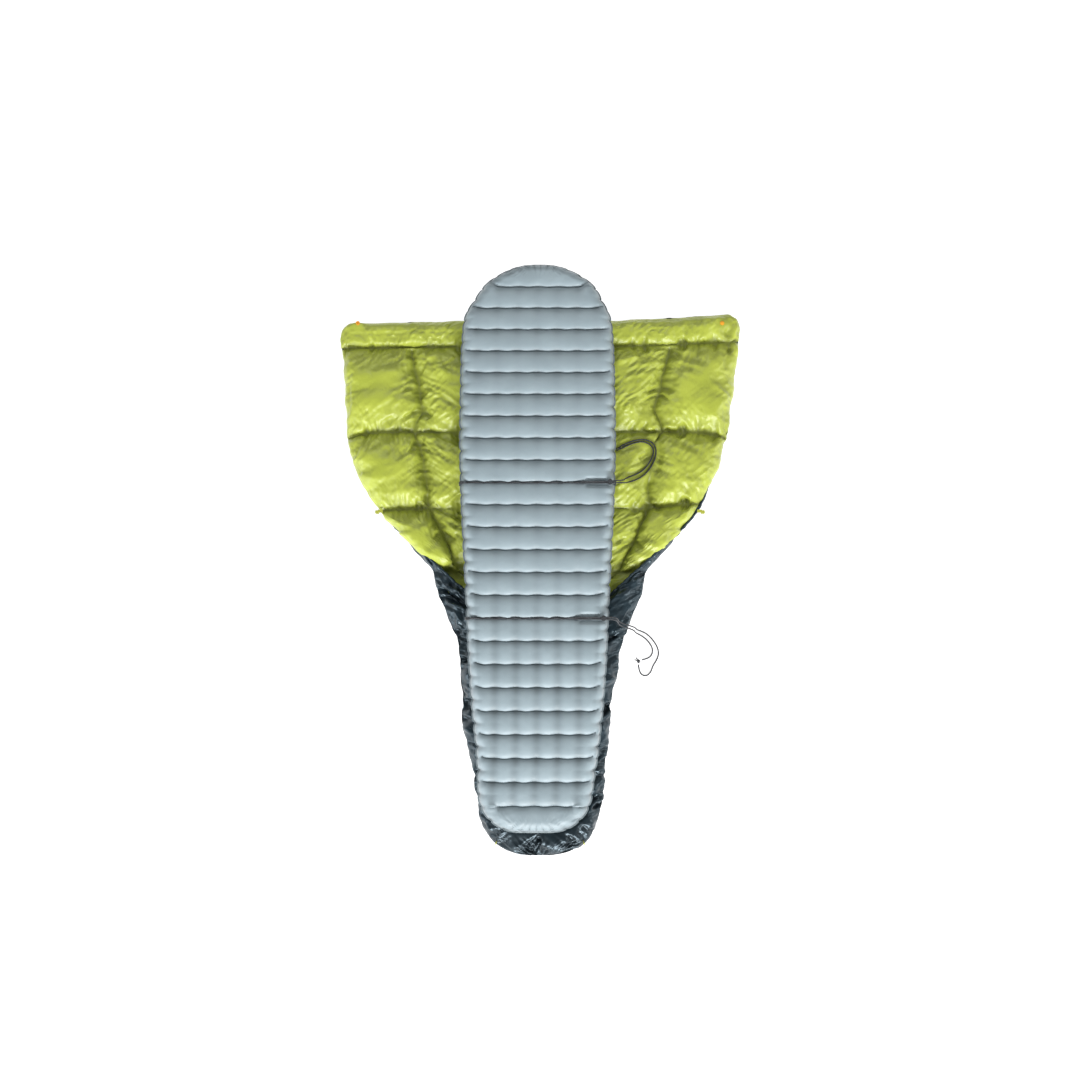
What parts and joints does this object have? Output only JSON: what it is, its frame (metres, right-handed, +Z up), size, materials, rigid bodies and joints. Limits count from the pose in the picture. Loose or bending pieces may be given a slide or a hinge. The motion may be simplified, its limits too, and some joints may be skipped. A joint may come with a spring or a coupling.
{
  "type": "camp quilt",
  "caption": "open-back down camping quilt with closed footbox, laid face down, with an inflatable sleeping pad held on it by two elastic cord straps",
  "frame": {"origin": "centre of the overall outline, on the ground under the quilt (strap tails left out)", "axes": "+Z up out of the open back, +Y from the foot to the head, +X across to the side with the cord locks"},
  "size_m": [1.332, 1.902, 0.1454],
  "materials": {
    "shell_fabric": "glossy slate ripstop nylon",
    "liner_fabric": "glossy lime nylon taffeta",
    "down_fill": "white down clusters",
    "baffle_mesh": "fine nylon mesh",
    "elastic_tape": "woven elastic tape",
    "webbing_loop": "lime grosgrain tape",
    "snap_plastic": "moulded snap",
    "pad_fabric": "matt laminated polyester, grey-blue",
    "pad_web_film": "clear film",
    "valve_plastic": "moulded valve",
    "valve_pin_metal": "steel pin",
    "elastic_cord": "braided elastic cord, charcoal",
    "lock_plastic": "moulded cord lock",
    "spring_steel": "coil spring"
  },
  "bodies": {
    "quilt": {"centre_shell": "shell_fabric", "centre_liner": "liner_fabric", "centre_upper_down": "down_fill", "centre_middle_down": "down_fill", "centre_lower_down": "down_fill", "centre_baffle_meshes": "baffle_mesh", "centre_collar_casing": "liner_fabric", "centre_collar_down": "down_fill", "collar_elastic_tape": "elastic_tape", "footbox_front_shell": "shell_fabric", "footbox_front_down": "down_fill", "footbox_liner": "liner_fabric", "footbox_back_down": "down_fill", "footbox_back_shell": "shell_fabric", "footbox_side_down": "down_fill", "footbox_baffle_meshes": "baffle_mesh", "toe_hang_loops": "webbing_loop"},
    "left_wing": {"left_wing_shell": "shell_fabric", "left_wing_liner": "liner_fabric", "left_wing_upper_down": "down_fill", "left_wing_middle_down": "down_fill", "left_wing_lower_down": "down_fill", "left_wing_baffle_meshes": "baffle_mesh", "left_wing_collar_casing": "liner_fabric", "left_wing_collar_down": "down_fill", "left_wing_strap_loop": "webbing_loop", "left_collar_snap_socket": "snap_plastic"},
    "right_wing": {"right_wing_shell": "shell_fabric", "right_wing_liner": "liner_fabric", "right_wing_upper_down": "down_fill", "right_wing_middle_down": "down_fill", "right_wing_lower_down": "down_fill", "right_wing_baffle_meshes": "baffle_mesh", "right_wing_collar_casing": "liner_fabric", "right_wing_collar_down": "down_fill", "right_wing_strap_loop": "webbing_loop", "right_collar_snap_stud": "snap_plastic"},
    "pad": {"pad_face_film": "pad_fabric", "pad_base_film": "pad_fabric", "pad_edge_weld": "pad_fabric", "pad_baffle_webs": "pad_web_film", "valve_housing": "valve_plastic", "valve_hinge_pin": "valve_pin_metal", "valve_membrane": "pad_web_film", "upper_strap_band": "elastic_cord", "upper_tail_a": "elastic_cord", "upper_tail_b": "elastic_cord", "upper_tail_knot": "elastic_cord", "lower_strap_band": "elastic_cord", "lower_tail_a": "elastic_cord", "lower_tail_b": "elastic_cord", "lower_tail_knot": "elastic_cord"},
    "valve_flap": {"valve_cap": "valve_plastic"},
    "upper_lock": {"upper_lock_body": "lock_plastic", "upper_lock_spring": "spring_steel"},
    "upper_plunger": {"upper_lock_plunger": "lock_plastic"},
    "lower_lock": {"lower_lock_body": "lock_plastic", "lower_lock_spring": "spring_steel"},
    "lower_plunger": {"lower_lock_plunger": "lock_plastic"}
  },
  "joints": [
    {"name": "left_wing_fold", "type": "hinge", "parent": "quilt", "child": "left_wing", "pos_m": [-0.39, 0.4, 0.045], "axis": [0, 1, 0], "range_deg": [0, 90]},
    {"name": "right_wing_fold", "type": "hinge", "parent": "quilt", "child": "right_wing", "pos_m": [0.39, 0.4, 0.045], "axis": [0, -1, 0], "range_deg": [0, 90]},
    {"name": "pad_lift", "type": "slide", "parent": "quilt", "child": "pad", "axis": [0, 0, 1], "range_m": [0, 0.25]},
    {"name": "valve_cap_hinge", "type": "hinge", "parent": "pad", "child": "valve_flap", "pos_m": [0.12, 0.856, 0.0556], "axis": [1, 0, 0], "range_deg": [0, 150]},
    {"name": "upper_lock_slide", "type": "slide", "parent": "pad", "child": "upper_lock", "axis": [-1, 0, 0], "range_m": [0, 0.06]},
    {"name": "upper_plunger_press", "type": "slide", "parent": "upper_lock", "child": "upper_plunger", "axis": [0, 0, -1], "range_m": [0, 0.002], "stiffness_N_per_m": 900, "springref_m": -0.001, "deforming": ["upper_lock_spring"]},
    {"name": "lower_lock_slide", "type": "slide", "parent": "pad", "child": "lower_lock", "axis": [-1, 0, 0], "range_m": [0, 0.06]},
    {"name": "lower_plunger_press", "type": "slide", "parent": "lower_lock", "child": "lower_plunger", "axis": [0, 0, -1], "range_m": [0, 0.002], "stiffness_N_per_m": 900, "springref_m": -0.001, "deforming": ["lower_lock_spring"]}
  ]
}
